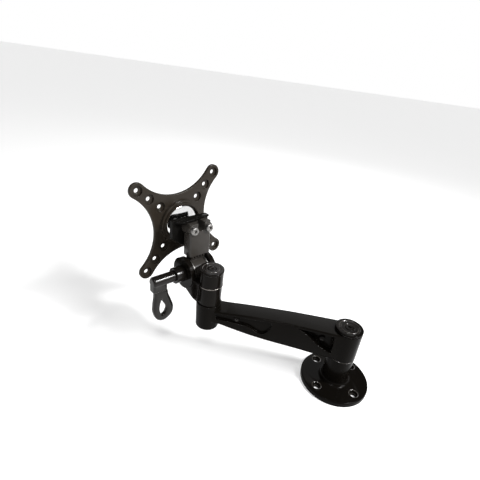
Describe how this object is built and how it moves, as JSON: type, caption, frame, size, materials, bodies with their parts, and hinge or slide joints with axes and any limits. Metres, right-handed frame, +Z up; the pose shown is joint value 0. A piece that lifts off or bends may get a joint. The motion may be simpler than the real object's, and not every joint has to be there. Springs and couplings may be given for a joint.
{
  "type": "monitor arm",
  "caption": "Short pivoting monitor arm with a round bolt-down base, a tilting clamp-lever head and an X-shaped screen plate with square hole patterns",
  "frame": {"origin": "on the base swivel axis, in the flat underside of the round base flange", "axes": "+Z up the two vertical pivots, +X from the base pivot to the head pivot, +Y completes the frame"},
  "size_m": [0.2962, 0.1301, 0.2153],
  "materials": {
    "arm_paint": "satin near-black powder coat",
    "head_paint": "satin dark grey-brown powder coat",
    "lever_paint": "semi-gloss dark grey",
    "bright_plating": "polished",
    "plated_steel": "zinc plated",
    "acetal": "matt black"
  },
  "bodies": {
    "base": {"base_mount": "arm_paint", "base_spindle": "plated_steel", "base_thrust_washer": "acetal", "base_cap_washer": "acetal", "base_cap": "arm_paint", "base_cap_screw": "plated_steel"},
    "arm": {"arm_link": "arm_paint", "base_bush_low": "acetal", "base_bush_high": "acetal", "knuckle_plug": "arm_paint", "arm_screw_base": "plated_steel", "arm_screw_head": "plated_steel", "head_spindle": "plated_steel", "head_thrust_washer": "acetal", "head_cap": "arm_paint", "head_cap_screw": "plated_steel"},
    "neck": {"neck_casting": "arm_paint", "neck_ring": "bright_plating", "neck_bush_low": "acetal", "neck_bush_high": "acetal", "tilt_axle": "plated_steel", "axle_cap": "arm_paint"},
    "tilt_head": {"tilt_block": "head_paint", "tilt_washer_left": "bright_plating", "tilt_washer_right": "bright_plating", "friction_disc_left": "acetal", "friction_disc_right": "acetal", "tilt_bracket": "head_paint", "lug_bolt_left": "plated_steel", "lug_bolt_right": "plated_steel", "pivot_nut": "plated_steel", "pivot_bolt": "plated_steel", "pivot_front_nut": "plated_steel"},
    "screen_plate": {"vesa_plate": "head_paint", "dome_washer": "bright_plating", "pivot_bush": "acetal"},
    "clamp_lever": {"lever_collar": "bright_plating", "lever_shaft": "lever_paint", "lever_grip": "lever_paint"}
  },
  "joints": [
    {"name": "base_swivel", "type": "hinge", "parent": "base", "child": "arm", "pos_m": [0, 0, 0.06], "axis": [0, 0, 1], "range_deg": [-170, 170]},
    {"name": "head_swivel", "type": "hinge", "parent": "arm", "child": "neck", "pos_m": [0.162, 0, 0.1], "axis": [0, 0, 1], "range_deg": [-80, 60]},
    {"name": "head_tilt", "type": "hinge", "parent": "neck", "child": "tilt_head", "pos_m": [0.18554, -0.01614, 0.1061], "axis": [-0.6082, -0.7938, 0], "range_deg": [-15, 20]},
    {"name": "plate_turn", "type": "hinge", "parent": "tilt_head", "child": "screen_plate", "pos_m": [0.2131, -0.03915, 0.15214], "axis": [0.7928, -0.6074, -0.0506], "range_deg": [-95, 95]},
    {"name": "lever_turn", "type": "hinge", "parent": "neck", "child": "clamp_lever", "pos_m": [0.19977, 0.00243, 0.1061], "axis": [0.6082, 0.7938, 0], "range_deg": [0, 110]}
  ]
}
